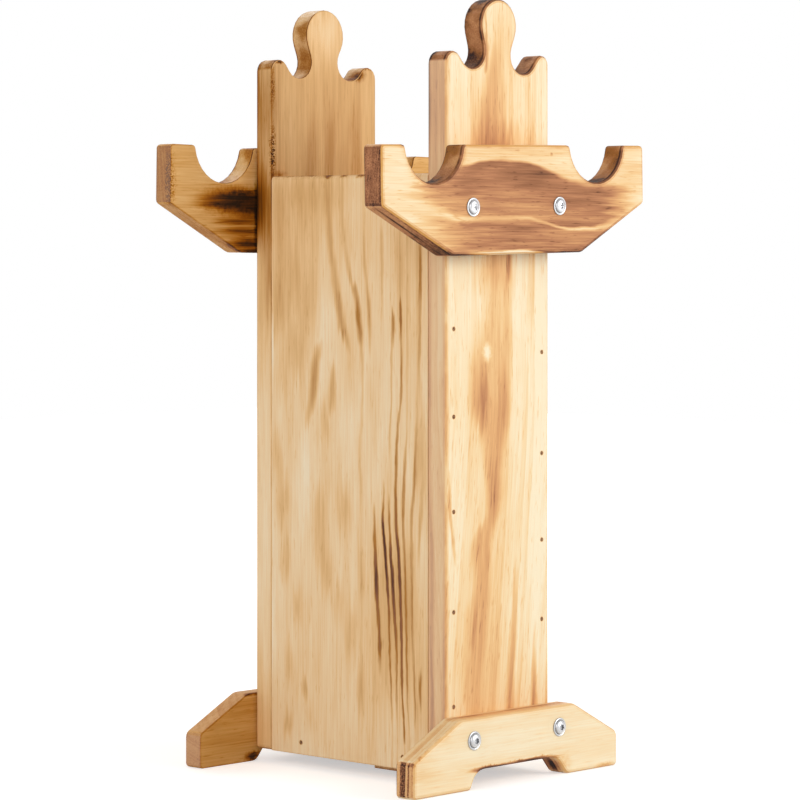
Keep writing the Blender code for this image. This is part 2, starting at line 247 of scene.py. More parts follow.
flecks = noise(PINE, place, (1, 1, 0.11), 620, 2.0)
PINE.links.new(fade(PINE, flecks, 0.58, 0.76), out.inputs["Flecks"])
PINE.links.new(noise(PINE, place, (1, 1, 0.32), 34, 2.0), out.inputs["Blotches"])

# One stroke of the torch: a soft patch that fades from its centre to its reach on each side
STROKE, into, out = new_group(
    "torch_stroke",
    {"Place": (0, 0, 0), "Centre": (0, 0, 0), "Reach": (0.01, 0.01, 0.1), "Weight": 0.5},
    ["Scorch"],
)
off = vectors(STROKE, "SUBTRACT", into["Place"], into["Centre"])
off = vectors(STROKE, "DIVIDE", off, into["Reach"])
patch = fade(STROKE, vectors(STROKE, "LENGTH", off, output=1), 1.0, 0.0)
STROKE.links.new(times(STROKE, patch, into["Weight"]), out.inputs["Scorch"])

# A band of grain that the torch has drawn out: how dark it is at a distance from its middle
BAND, into, out = new_group(
    "drawn_grain",
    {"Across": 0.0, "Middle": 0.0, "Half Width": 0.002, "Softness": 0.8, "Weight": 0.5},
    ["Scorch"],
)
off = maths(BAND, "ABSOLUTE", maths(BAND, "SUBTRACT", into["Across"], into["Middle"]))
off = maths(BAND, "DIVIDE", off, maths(BAND, "MAXIMUM", into["Half Width"], 0.1 * MM))
dark = fade(BAND, off, 1.0, maths(BAND, "SUBTRACT", 1.0, into["Softness"]))
BAND.links.new(times(BAND, dark, into["Weight"]), out.inputs["Scorch"])

# Which part of a board a place is on, from the way it faces: X is across, Y through, Z along
EDGES, into, out = new_group("board_edges", {"Facing": (0, 0, 0)}, ["Arris", "End", "Side", "Slope", "Through"])
facing = split(EDGES, vectors(EDGES, "ABSOLUTE", into["Facing"]))
rest = maths(EDGES, "SUBTRACT", 1.0, times(EDGES, facing[1], facing[1]))
rest = maths(EDGES, "SQRT", maths(EDGES, "MAXIMUM", rest, 0.0))
EDGES.links.new(fade(EDGES, times(EDGES, facing[1], rest), 0.05, 0.42), out.inputs["Arris"])
EDGES.links.new(fade(EDGES, facing[2], 0.72, 0.97), out.inputs["End"])
EDGES.links.new(fade(EDGES, facing[0], 0.75, 0.97), out.inputs["Side"])
EDGES.links.new(fade(EDGES, times(EDGES, facing[0], facing[2]), 0.2, 0.4), out.inputs["Slope"])
EDGES.links.new(facing[1], out.inputs["Through"])

# A curved edge that the saw has cut across the grain: a brown wall, a charred line at its arris
# and a golden rim where the varnish lies thick
SAWN, into, out = new_group(
    "sawn_edge",
    {
        "Tone": 0.1, "Through": 0.0, "Where": 0.0, "Specks": 0.5, "Patches": 0.5, "Wall": 0.58, "Char": 0.7,
        "Level": 0.0,
    },
    ["Tone"],
)
RIM_TONE = 0.36
CHAR_TONE = 0.94
wall = maths(SAWN, "ADD", into["Wall"], centred(SAWN, into["Specks"], 0.42))
wall = maths(SAWN, "ADD", wall, centred(SAWN, fade(SAWN, into["Patches"], 0.34, 0.66), 0.40))
wall = maths(SAWN, "ADD", wall, into["Level"])
on_wall = times(SAWN, fade(SAWN, into["Through"], 0.62, 0.25), into["Where"])
tone = blend(SAWN, on_wall, into["Tone"], wall)
on_rim = times(
    SAWN, fade(SAWN, into["Through"], 0.56, 0.74), fade(SAWN, into["Through"], 0.998, 0.93), into["Where"],
    fade(SAWN, into["Patches"], 0.3, 0.6, 0.25, 0.9),
)
tone = blend(SAWN, on_rim, tone, maths(SAWN, "ADD", RIM_TONE, centred(SAWN, into["Specks"], 0.16)))
on_arris = times(
    SAWN, fade(SAWN, into["Through"], 0.05, 0.22), fade(SAWN, into["Through"], 0.86, 0.62), into["Where"],
    into["Char"], fade(SAWN, into["Patches"], 0.28, 0.52, 0.3, 1.0),
)
SAWN.links.new(blend(SAWN, on_arris, tone, CHAR_TONE), out.inputs["Tone"])

# The tones that torched and varnished pine goes through, from bare to char. Where the varnish
# lies thick, they are more golden.
PINE_TONES = (
    (0.00, (0.940, 0.815, 0.585)),
    (0.12, (0.910, 0.695, 0.412)),
    (0.24, (0.860, 0.565, 0.270)),
    (0.36, (0.770, 0.430, 0.186)),
    (0.48, (0.640, 0.318, 0.136)),
    (0.60, (0.470, 0.203, 0.094)),
    (0.74, (0.280, 0.112, 0.050)),
    (0.87, (0.110, 0.042, 0.022)),
    (1.00, (0.025, 0.012, 0.010)),
)
HONEY_TONES = (
    (0.00, (0.950, 0.800, 0.570)),
    (0.12, (0.915, 0.682, 0.412)),
    (0.24, (0.852, 0.562, 0.280)),
    (0.36, (0.738, 0.448, 0.192)),
    (0.48, (0.600, 0.325, 0.122)),
    (0.60, (0.440, 0.190, 0.035)),
    (0.74, (0.280, 0.085, 0.002)),
    (0.87, (0.100, 0.027, 0.001)),
    (1.00, (0.020, 0.007, 0.002)),
)
GOLDEN_TONES = (
    (0.00, (0.930, 0.760, 0.480)),
    (0.12, (0.880, 0.640, 0.330)),
    (0.24, (0.830, 0.530, 0.225)),
    (0.36, (0.740, 0.420, 0.145)),
    (0.48, (0.610, 0.300, 0.070)),
    (0.60, (0.470, 0.180, 0.016)),
    (0.74, (0.290, 0.085, 0.002)),
    (0.87, (0.090, 0.027, 0.004)),
    (1.00, (0.020, 0.008, 0.003)),
)
AMBER = (0.700, 0.345, 0.075, 1)
BURNT_HONEY = (0.340, 0.132, 0.020, 1)

# Each board's own space has X across its width, Y through its thickness and Z along its grain
UPRIGHT = Matrix.Identity(3)
SIDEWAYS = Matrix.Rotation(math.radians(-90), 3, "Z")
LYING = Matrix.Rotation(math.radians(-90), 3, "Y")


# A curve only goes from 0 to 1, which stands for these lengths in millimetres
ACROSS_SPAN = 1200  # from 600 on one side of the board's middle to 600 on the other
HALF_SPAN = 60  # for half widths


def course(tree, along, points):
    """The middle, half width and weight of a band at a place along the grain.

    It runs smoothly through points (across, along, half width, weight), in millimetres.
    """
    points = sorted(points, key=lambda point: point[1])
    start, end = points[0][1], points[-1][1]
    share = add(tree, "ShaderNodeMapRange", {0: along, 1: start * MM, 2: end * MM}).outputs[0]
    curves = add(tree, "ShaderNodeRGBCurve", {"Color": share})
    curves.mapping.extend = "HORIZONTAL"
    spans = ((0, -ACROSS_SPAN / 2, ACROSS_SPAN), (2, 0, HALF_SPAN), (3, 0, 1))
    for curve, (column, low, size) in zip(curves.mapping.curves, spans):
        places = [((point[1] - start) / (end - start), (point[column] - low) / size) for point in points]
        curve.points[0].location, curve.points[1].location = places[0], places[-1]
        for between in places[1:-1]:
            curve.points.new(*between)
        for point in curve.points:
            point.handle_type = "AUTO_CLAMPED"
    curves.mapping.update()
    middle, half, weight = add(tree, "ShaderNodeSeparateColor", {0: curves.outputs[0]}).outputs
    return centred(tree, middle, ACROSS_SPAN * MM), times(tree, half, HALF_SPAN * MM), weight


def burn(tree, place, turn, centre, reach, weight):
    """One stroke of the torch. Its centre and reach are given along the stand's axes, in millimetres."""
    centre = turn @ Vector(centre) * MM
    reach = [abs(length) * MM for length in turn @ Vector(reach)]
    return placed(tree, STROKE, Place=place, Centre=centre, Reach=reach, Weight=weight)[0]


# How far the burns stray from their course, in millimetres: strokes along and across the grain,
# bands across it, and the torn outlines of marks
FEATHER, SWAY, SHIVER, TEAR = 52, 4, 2.2, 5
SCORCH_DEPTH = 0.64  # how far a full scorch takes the tone towards black
NAIL_RADIUS, NAIL_STAIN = 0.9, 2.5  # in millimetres, the burnt ring round a nail


def torched_pine(
    name, turn, pith, tones=PINE_TONES, ring_width=6.0, wander=1.5, bare=0.10, rings=0.10, streaks=0.24,
    fibre=0.19, flecks=0.11, blotches=0.16, side=0.10, slope=0.20, end_grain=0.35, end_bands=0.10, arris=0.20,
    amber=0.0, strokes=(), bands=(), marks=(), nails=(), lean=None, figure=None, sawn=None, wall=0.58, char=0.8,
    level=0.06, rims=0.6, honey=0.6, press=1.0, greyed=None,
):
    """Torched and varnished pine for one board. Lengths are in millimetres.

    Strokes and marks are (centre, reach, weight), and a mark that ends with True is crumbly. Bands
    are (softness, points of a course). Most numbers say how far an effect darkens the tone.
    """
    material, tree = new_material(name + "_torched_pine")
    coordinates = add(tree, "ShaderNodeTexCoord").outputs
    turned = {"Vector": coordinates["Object"], "Rotation": turn.to_euler()}
    board = add(tree, "ShaderNodeMapping", turned).outputs[0]
    turned = {"Vector": coordinates["Normal"], "Rotation": turn.to_euler()}
    facing = add(tree, "ShaderNodeMapping", turned, vector_type="VECTOR").outputs[0]
    edges = placed(tree, EDGES, Facing=facing)
    grown = board
    if lean:
        start, end, shift = lean
        inputs = {0: split(tree, board)[2], 1: start * MM, 2: end * MM, 3: 0.0, 4: shift * MM}
        grown = moved(tree, board, across=add(tree, "ShaderNodeMapRange", inputs).outputs[0])

    seed = sum(ord(letter) * (k + 1) for k, letter in enumerate(name)) % 97
    grain = placed(
        tree, PINE, Place=grown, Pith=turn @ Vector(pith) * MM, Ring_Width=ring_width * MM,
        Wander=wander * MM, Seed=(seed * 0.37, seed * 0.11, seed * 0.53),
    )
    seeded = vectors(tree, "ADD", grown, (seed * 0.21, seed * 0.45, 0))
    patches = noise(tree, seeded, (1, 1, 1), 46, 3.0)
    specks = noise(tree, seeded, (1, 1, 1), 880, 3.0)

    # Strokes and bands are feathered along the fibres
    feather = centred(tree, noise(tree, seeded, (1, 1, 0.06), 330, 3.0), FEATHER * MM)
    sway = centred(tree, noise(tree, seeded, (1, 1, 0.5), 45, 1.0), SWAY * MM)
    shiver = centred(tree, noise(tree, seeded, (1, 1, 0.3), 240, 2.0), SHIVER * MM)
    feathered = moved(tree, board, sway, feather)
    scorch = figure(tree, board, feathered) if figure else 0.0
    for centre, reach, weight in strokes:
        scorch = over(tree, scorch, burn(tree, feathered, turn, centre, reach, weight))
    drawn = split(tree, moved(tree, board, shiver, times(tree, feather, 0.5)))
    for softness, points in bands:
        middle, half, weight = course(tree, drawn[2], points)
        band = placed(
            tree, BAND, Across=drawn[0], Middle=middle, Half_Width=half, Softness=softness,
            Weight=times(tree, weight, press),
        )
        scorch = over(tree, scorch, band[0])

    # Marks have torn outlines, and the crumbly ones are broken up into specks
    torn = vectors(tree, "SUBTRACT", noise(tree, seeded, (1, 1, 1), 330, 3.0, "Color"), (0.5, 0.5, 0.5))
    torn = vectors(tree, "ADD", board, vectors(tree, "MULTIPLY", torn, [TEAR * MM] * 3))
    for centre, reach, weight, *crumbly in marks:
        mark = burn(tree, torn, turn, centre, reach, weight)
        if crumbly:
            mark = times(tree, mark, fade(tree, specks, 0.42, 0.56))
        scorch = over(tree, scorch, mark)

    # Arrises catch the flame, and end grain drinks the varnish, most of all in its hard rings
    edge = times(tree, edges["Arris"], fade(tree, patches, 0.3, 0.62, 0.4 * arris, arris))
    hard = times(tree, fade(tree, specks, 0.25, 0.7, 0.4, 1.0), end_bands)
    hard = times(tree, fade(tree, grain["Rings"], 0.04, 0.32), hard)
    mottle = maths(tree, "ADD", end_grain, centred(tree, specks, 0.30))
    mottle = maths(tree, "ADD", mottle, hard)
    dark = maths(tree, "ADD", scorch, 0.55)
    tone = times(tree, grain["Rings"], rings, dark)
    for part in (
        bare,
        times(tree, scorch, SCORCH_DEPTH),
        times(tree, centred(tree, grain["Streaks"], streaks), maths(tree, "ADD", dark, 0.25)),
        centred(tree, grain["Fibre"], fibre),
        centred(tree, grain["Blotches"], blotches),
        times(tree, grain["Flecks"], flecks),
        edge,
        times(tree, edges["Side"], side),
        times(tree, edges["Slope"], slope),
        times(tree, edges["End"], mottle),
    ):
        tone = maths(tree, "ADD", tone, part)
    where = 0.0
    if sawn:
        where = sawn(tree, coordinates["Object"])
        tone = placed(
            tree, SAWN, Tone=tone, Through=edges["Through"], Where=where, Specks=specks, Patches=patches,
            Wall=maths(tree, "ADD", wall, times(tree, scorch, 0.3)), Char=char,
            Level=times(tree, edges["Side"], level),
        )[0]
    for nail in nails:
        off = vectors(tree, "SUBTRACT", coordinates["Object"], Vector(nail) * MM)
        far = vectors(tree, "LENGTH", off, output=1)
        tone = maths(tree, "ADD", tone, fade(tree, far, NAIL_RADIUS * MM, NAIL_STAIN * MM, 0.55, 0.0))

    ramp = add(tree, "ShaderNodeValToRGB", {0: tone})
    stops = ramp.color_ramp.elements
    while len(stops) < len(tones):
        stops.new(0.5)
    for stop, (position, colour) in zip(stops, tones):
        stop.position = position
        stop.color = (*colour, 1)

    # Varnish gathers in golden rims and on sawn walls, and planed edges may be a little grey
    rim = times(tree, fade(tree, edges["Through"], 0.2, 0.5), fade(tree, edges["Through"], 0.98, 0.82))
    thick = times(tree, where, fade(tree, patches, 0.3, 0.6, 0.0, rims))
    thick = maths(tree, "MAXIMUM", blend(tree, where, amber, 0.0), thick)
    rim = times(tree, rim, thick, fade(tree, tone, 0.8, 0.5))
    colour = tint(tree, rim, ramp.outputs[0], AMBER)
    walls = times(
        tree, fade(tree, edges["Through"], 0.6, 0.3), where, fade(tree, patches, 0.35, 0.6, 0.4 * honey, honey),
        fade(tree, tone, 0.95, 0.7),
    )
    colour = tint(tree, walls, colour, BURNT_HONEY)
    if greyed:
        part, factor, grey = greyed
        planed = times(tree, edges[part], maths(tree, "SUBTRACT", 1.0, where), factor)
        colour = tint(tree, planed, colour, grey)

    # Fibres and rings stand proud of the surface, and cut grain is rough
    relief = maths(tree, "ADD", grain["Fibre"], times(tree, grain["Rings"], 0.5))
    cut = maths(tree, "MAXIMUM", edges["End"], where)
    relief = maths(tree, "ADD", relief, times(tree, specks, cut, 2.0))
    bump = add(tree, "ShaderNodeBump", {"Strength": 0.35, "Distance": 0.25 * MM, "Height": relief})
    shader = add(tree, "ShaderNodeBsdfPrincipled", {
        "Base Color": colour,
        "Roughness": fade(tree, tone, 0.0, 1.0, 0.36, 0.66),
        "Normal": bump.outputs[0],
        "Coat Weight": 0.03,
        "Coat Roughness": 0.25,
        "Specular IOR Level": 0.14,
    })
    add(tree, "ShaderNodeOutputMaterial", {"Surface": shader.outputs[0]})
    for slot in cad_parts[name].material_slots:
        slot.material = material


def sawn_top(tree, place):
    """The end board's sawn outline, above the straight part of its long edges."""
    across, _, height = split(tree, place)
    inside = fade(tree, maths(tree, "ABSOLUTE", across), 62 * MM, 60 * MM)
    above_shoulders = fade(tree, height, 570.5 * MM, 573 * MM)
    return times(tree, fade(tree, height, 561 * MM, 564 * MM), maths(tree, "MAXIMUM", inside, above_shoulders))


torched_pine(
    "front_board", UPRIGHT, pith=(-10, -52, 0), ring_width=7.5, bare=0.035, lean=(300, 0, 27),
    rings=0.15, end_grain=0.25, arris=0.22, side=0.19, sawn=sawn_top, char=1.0, wall=0.69, fibre=0.24, flecks=0.16,
    greyed=("Side", 0.36, (0.810, 0.590, 0.420, 1)),
    strokes=(
        ((50, -106, 300), (26, 12, 250), -0.14),
        ((-20, -106, 110), (56, 12, 130), 0.26),
        ((-8, -106, 300), (66, 12, 110), 0.14),
        ((-3, -106, 212), (56, 12, 90), 0.16),
        ((8, -106, 60), (60, 12, 60), 0.16),
        ((2, -106, 480), (70, 12, 60), 0.16),
        ((2, -106, 508), (62, 12, 22), 0.30),
        ((-6, -106, 530), (80, 12, 70), 0.14),
        ((0, -106, 590), (36, 12, 60), 0.16),
        ((-62, -91.8, 90), (10, 4.6, 240), 0.50),
        ((-62, -89.5, 330), (10, 3.0, 170), 0.50),
        ((-61.5, -105.8, 230), (4, 2.6, 260), 0.12),
        ((-62, -105, 60), (6, 4, 120), 0.30),
        ((-62, -97, 545), (8, 14, 76), 0.36),
        ((-61.5, -88.5, 545), (8, 3.6, 90), 1.3),
        ((-19, -106, 303), (12, 12, 42), 0.40),
        ((-17, -106, 308), (6, 12, 24), 0.20),
        ((4, -106, 300), (12, 12, 44), 0.24),
        ((-9, -106, 404), (40, 12, 26), 0.22),
    ),
    bands=(
        (0.85, (
            (-31, 30, 18, 0.24), (-29, 86, 18, 0.28), (-26, 111, 17, 0.34), (-25, 136, 19, 0.40), (-20, 160, 15, 0.46),
            (-21, 180, 18, 0.44), (-17, 198, 16, 0.44), (-9, 212, 12, 0.52), (-7, 235, 13, 0.60), (-8, 250, 15, 0.54),
            (-7, 273, 19, 0.46), (-10, 287, 28, 0.46), (-12, 310, 35, 0.38), (-11, 328, 34, 0.32), (-4, 358, 29, 0.30),
            (-4, 382, 22, 0.28), (-4, 415, 23, 0.38), (-6, 450, 22, 0.42), (-9, 500, 28, 0.62), (-9, 514, 28, 0.58),
            (-9, 529, 26, 0.50), (-7, 545, 23, 0.42), (-5, 570, 14, 0.32), (-2, 588, 10, 0.14), (0, 612, 8, 0.0),
        )),
        (0.8, (
            (11, 30, 7, 0.50), (13, 58, 7, 0.46), (14, 81, 6.5, 0.44), (16, 107, 6.4, 0.40), (18, 132, 5.6, 0.32),
            (19, 157, 4.4, 0.22), (21, 180, 3, 0.0),
        )),
        (0.9, ((22, 30, 2.8, 0.30), (23, 57, 2.8, 0.32), (27, 99, 2.6, 0.22), (30, 130, 2, 0.0))),
        (0.9, ((40, 30, 6.5, 0.62), (41, 56, 6, 0.62), (42, 79, 5.0, 0.46), (42, 98, 3.8, 0.30), (44, 130, 3, 0.0))),
        (0.9, ((56, 30, 3, 0.4), (57, 60, 2.6, 0.34), (58, 100, 2, 0.0))),
        (0.8, (
            (36, 320, 3.5, 0.0), (37, 350, 4, 0.10), (38, 381, 6, 0.24), (39, 422, 6, 0.30), (38, 500, 4.5, 0.26),
            (37, 546, 3.4, 0.14), (36, 575, 3, 0.0),
        )),
        (0.9, (
            (-51, 165, 2.5, 0.0), (-54, 190, 3, 0.32), (-58, 213, 3, 0.44), (-59, 231, 2.6, 0.30), (-60, 255, 2, 0.0),
        )),
        (1.0, ((-18, 160, 4, 0.0), (-15, 178, 5, 0.34), (-16, 189, 5, 0.30), (-14, 208, 3, 0.0))),
        (1.0, ((-34, 104, 4, 0.0), (-32, 119, 5, 0.34), (-30, 128, 5, 0.34), (-27, 145, 3, 0.0))),
        (1.0, ((-40, 55, 5, 0.10), (-39, 76, 5, 0.28), (-37, 92, 5, 0.26), (-34, 110, 3, 0.0))),
        (1.0, ((8, 384, 3, 0.0), (10, 400, 4.2, 0.34), (11, 418, 5, 0.46), (12, 440, 5, 0.40), (10, 475, 3, 0.0))),
        (1.0, (
            (-16.6, 562, 2.6, 0.0), (-16.0, 568, 3.2, 0.55), (-15.2, 576, 3.0, 0.65), (-15.0, 586, 2.6, 0.6),
            (-15.8, 597, 2.0, 0.5), (-16.8, 608, 1.8, 0.3), (-17.4, 619, 1.6, 0.0),
        )),
    ),
    marks=(
        ((-14.8, -106.9, 341), (7.2, 6, 11.5), -0.8),
        ((-60, -103, 577), (5, 6, 4), 0.7),
        ((-21, -89, 598), (7, 5, 40), 0.5),
        ((-10, -96, 620), (16, 8, 7), 0.5),
        ((-24, -104, 572), (9, 4, 5), 0.6),
        ((-56, -89, 578), (10, 5, 5), 0.8),
        ((42, -97, 578), (12, 10, 5), 1.6),
    ),
    nails=[(-54.1, -106.9, z) for z in (63.7, 138, 216.8, 291.4, 360.5)]
    + [(51.3, -106.9, z) for z in (124.3, 188.5, 258.4, 340)],
)
torched_pine(
    "rear_board", UPRIGHT, pith=(20, 150, 0), tones=HONEY_TONES, ring_width=6.5, bare=0.37, fibre=0.2, flecks=0.06,
    rings=0.10, end_grain=0.22, arris=0.20, side=-0.04, streaks=0.18, sawn=sawn_top, char=0.7, wall=0.42, rims=0.3,
    honey=0.2,
    strokes=(
        # On the left edge beside the bar, the dark golden is partly scorch and partly a painted warm reflection from
        # the bar
        ((-63, 99, 462), (16, 26, 60), 0.62),
        ((-63, 92, 400), (12, 8, 60), 0.32),
        ((-63, 105, 462), (10, 4.5, 60), 0.55),
        ((-63, 98, 540), (14, 24, 60), 0.34),
        ((-63, 105, 560), (12, 5, 70), 0.42),
        ((-63, 97, 200), (10, 30, 250), -0.42),
        ((0, 88, 605), (44, 12, 44), -0.30),
        ((12, 88, 500), (60, 12, 60), 0.10),
        ((0, 106, 300), (44, 10, 160), 0.30),
    ),
    bands=(
        (1.0, ((-20, 470, 8, 0.13), (-20, 510, 8, 0.12), (-19, 545, 5, 0.0))),
        (1.0, ((8, 470, 10, 0.15), (7, 520, 10, 0.14), (8, 560, 6, 0.0))),
        (1.0, ((36, 470, 6, 0.14), (35, 520, 6, 0.12), (34, 560, 4, 0.0))),
    ),
    marks=(
        ((-61.5, 88, 503), (4, 4.4, 32), 1.0, True),
        ((-62, 88, 555), (4, 3.0, 24), 0.45, True),
        ((-55, 88, 485), (14, 5, 4), 0.30),
        ((-10, 95, 612), (9, 9, 12), 0.45),
        ((38, 92, 571), (14, 12, 9), 1.5),
        ((54, 91, 578), (14, 10, 5), 1.5),
        ((-54, 91, 580), (14, 8, 5), 1.5),
    ),
    nails=[(x, 106.9, z) for x in (-53.9, 51.1) for z in (62, 136, 212, 288, 362)],
)


# Side panels: wide pine boards, butted between the end boards and nailed through them. Their
# grain is upright, and the torch has drawn out the hard lines of the year rings.

HARD_LINES = (
    (0.7, (
        (-29, 222, 1.2, 0.0), (-29.4, 206, 1.6, 0.40), (-29.8, 191, 2.0, 0.55), (-30.8, 170, 2.4, 0.74),
        (-31.8, 152, 2.6, 0.95), (-32.7, 138, 2.3, 0.74), (-34.3, 122, 2.0, 0.62), (-35.3, 109, 2.2, 0.62),
        (-35.4, 95, 1.8, 0.34), (-36, 78, 1.4, 0.0),
    )),
    (0.7, (
        (-39.6, 240, 1.0, 0.0), (-39.4, 222, 1.2, 0.40), (-38.6, 208, 1.5, 0.62), (-39.5, 198, 1.7, 0.85),
        (-41, 186, 1.9, 1.0), (-42.5, 170, 2.0, 1.0), (-43.8, 153, 1.8, 0.90), (-45.2, 138, 1.5, 0.66),
        (-45.9, 118, 1.3, 0.56), (-46.5, 97, 1.2, 0.50), (-47.7, 71, 1.1, 0.42), (-49.2, 40, 1.0, 0.16),
    )),
    (0.7, (
        (-45.2, 226, 1.0, 0.0), (-45.7, 210, 1.3, 0.45), (-46.6, 196, 1.7, 0.60), (-47.9, 177, 2.1, 0.95),
        (-49.2, 167, 2.1, 0.90), (-50, 155, 2.0, 0.78), (-51.1, 142, 1.8, 0.72), (-52.7, 119, 1.7, 0.68),
        (-53.9, 97, 1.4, 0.50), (-53.9, 71, 1.1, 0.40), (-54.8, 36, 1.0, 0.12),
    )),
    (0.7, (
        (-57.6, 390, 1.0, 0.10), (-58.2, 372, 1.5, 0.55), (-58.7, 349, 1.2, 0.28), (-58.9, 330, 1.6, 0.50),
        (-58.4, 302, 1.5, 0.40), (-56, 289, 1.4, 0.36), (-54.2, 272, 1.6, 0.42), (-53.4, 254, 1.8, 0.46),
        (-52.8, 224, 1.9, 0.56), (-53.6, 201, 2.0, 0.66), (-55.5, 184, 1.9, 0.88), (-57.5, 158, 1.7, 0.84),
        (-58.2, 142, 1.6, 0.74), (-59.5, 111, 1.5, 0.70), (-59.5, 85, 1.5, 0.66), (-60.5, 63, 1.2, 0.54),
        (-62.1, 46, 1.4, 0.66), (-62.5, 30, 1.0, 0.16),
    )),
    (0.8, (
        (-65.2, 284, 1.4, 0.12), (-63.1, 255, 1.6, 0.38), (-61.6, 229, 1.9, 0.50), (-60.8, 213, 2.0, 0.52),
        (-61.6, 197, 1.9, 0.50), (-63, 166, 1.7, 0.44), (-63.7, 143, 1.6, 0.42), (-64.7, 115, 1.5, 0.42),
        (-65, 90, 1.4, 0.42), (-65.7, 68, 1.2, 0.34), (-67.8, 38, 1.0, 0.12),
    )),
    (0.9, (
        (-76.2, 290, 1.6, 0.12), (-74.4, 264, 1.9, 0.34), (-73.4, 241, 2.1, 0.44), (-71.3, 224, 2.2, 0.46),
        (-70, 200, 2.0, 0.34), (-70.4, 160, 1.7, 0.30), (-70.5, 135, 1.6, 0.34), (-72, 105, 1.4, 0.26),
        (-73.1, 86, 1.6, 0.40), (-73.9, 69, 1.4, 0.38), (-74.5, 45, 1.0, 0.08),
    )),
    (0.9, ((-83.3, 245, 1.6, 0.0), (-80.4, 218, 2.0, 0.24), (-78.8, 198, 1.8, 0.28), (-77.8, 168, 1.6, 0.0))),
    (0.9, ((-80, 96, 1.4, 0.0), (-79.5, 80, 1.8, 0.44), (-79.5, 70, 1.6, 0.40), (-80, 52, 1.2, 0.0))),
    (1.0, (
        (24.4, 480, 4.0, 0.16), (22.5, 454, 4.2, 0.24), (20, 429, 4.6, 0.26), (15.7, 409, 4.8, 0.30),
        (12.7, 389, 5.0, 0.34), (9, 372, 5.2, 0.38), (6.5, 361, 5.0, 0.36), (2.3, 351, 4.0, 0.28), (-2, 334, 2.4, 0.0),
    )),
    (1.0, (
        (6.5, 450, 2.6, 0.12), (1.7, 416, 3.0, 0.18), (-3.2, 398, 3.4, 0.26), (-8.7, 387, 4.0, 0.40),
        (-12.3, 366, 4.0, 0.56), (-14.1, 353, 3.4, 0.46), (-15, 344, 2.6, 0.26), (-15.9, 314, 2.2, 0.16),
        (-14.1, 279, 2.2, 0.18), (-12.9, 257, 2.4, 0.20), (-14, 241, 2.2, 0.18), (-15, 205, 1.8, 0.06),
    )),
    (1.0, (
        (-17.7, 440, 1.8, 0.10), (-19, 407, 2.2, 0.24), (-20.8, 394, 2.4, 0.20), (-23.2, 376, 2.8, 0.30),
        (-24.5, 359, 2.6, 0.26), (-24.6, 336, 1.8, 0.0),
    )),
    (1.0, ((-37.4, 445, 1.6, 0.0), (-37.6, 426, 1.9, 0.18), (-37.8, 394, 1.8, 0.16), (-38, 360, 1.4, 0.0))),
    (0.9, (
        (-49.4, 378, 1.4, 0.0), (-50.1, 362, 2.1, 0.52), (-49.2, 350, 2.0, 0.42), (-48.4, 339, 1.7, 0.26),
        (-48.4, 302, 1.5, 0.22), (-46.5, 280, 1.5, 0.20), (-45.9, 250, 1.2, 0.0),
    )),
    (0.8, (
        (-78.9, 440, 1.6, 0.10), (-79.5, 399, 2.2, 0.50), (-78.9, 377, 1.8, 0.32), (-79, 351, 1.8, 0.40),
        (-78.3, 330, 1.6, 0.24), (-79, 290, 1.2, 0.0),
    )),
    (1.0, (
        (33, 350, 4, 0.0), (34.2, 340, 6, 0.32), (36.7, 331, 6.5, 0.42), (38, 321, 6.5, 0.44), (41.1, 303, 5.5, 0.38),
        (44.6, 289, 4.5, 0.26), (47, 276, 3, 0.0),
    )),
    (1.0, ((17, 334, 4, 0.0), (17.8, 318, 5.5, 0.28), (18.6, 304, 5.5, 0.30), (20, 288, 3, 0.0))),
)
TAN_PATCHES = (
    (74.6, 214, 12, 40, 0.34), (73, 168, 12, 30, 0.30), (58, 130, 10, 30, 0.26), (67, 84, 8, 24, 0.22),
    (5, 209, 14, 34, 0.30), (32, 196, 16, 44, 0.34), (26, 162, 14, 36, 0.32), (10, 140, 14, 30, 0.20),
    (48.6, 64, 5, 14, 0.42), (68.6, 34, 10, 18, 0.30), (-15, 66, 10, 26, 0.22), (-2, 112, 12, 34, 0.22),
    (-15, 165, 8, 30, 0.22), (43, 44, 12, 26, 0.16), (55, 462, 22, 40, 0.22), (78, 452, 14, 50, 0.24),
    (75, 404, 26, 56, 0.26), (52, 400, 26, 50, 0.18), (42, 376, 20, 44, 0.16), (80, 372, 14, 40, 0.34),
    (76, 322, 14, 40, 0.22), (58, 340, 16, 34, 0.24), (-57, 416, 12, 44, 0.22), (79, 253, 12, 34, 0.22),
    (26, 282, 12, 24, 0.20), (-3, 322, 14, 40, 0.14), (-30, 301, 14, 50, 0.12), (-80, 264, 10, 60, 0.24),
    (-66, 130, 26, 130, 0.20), (-82, 60, 14, 90, 0.20), (87, 350, 3.4, 66, -0.2), (30, 350, 14, 60, -0.10),
    (-45, 300, 20, 60, -0.12), (50, 250, 12, 60, -0.14), (88, 110, 8, 90, -0.10),
    (30, 455, 90, 80, 0.22), (-48, 140, 40, 130, 0.42), (40, 470, 70, 26, 0.16), (-70, 400, 30, 120, 0.14),
    (60, 372, 44, 60, 0.12), (20, 60, 80, 80, 0.10),
)
LINE_SPREAD = 1.3  # how much wider than above the flame has made the hard lines
LINE_DEPTH = 1.1  # and how much darker
PATCH_DEPTH = 0.88  # and how dark it has left the patches
THROUGH = 14  # how deep in the panel, in millimetres, a stroke or mark reaches
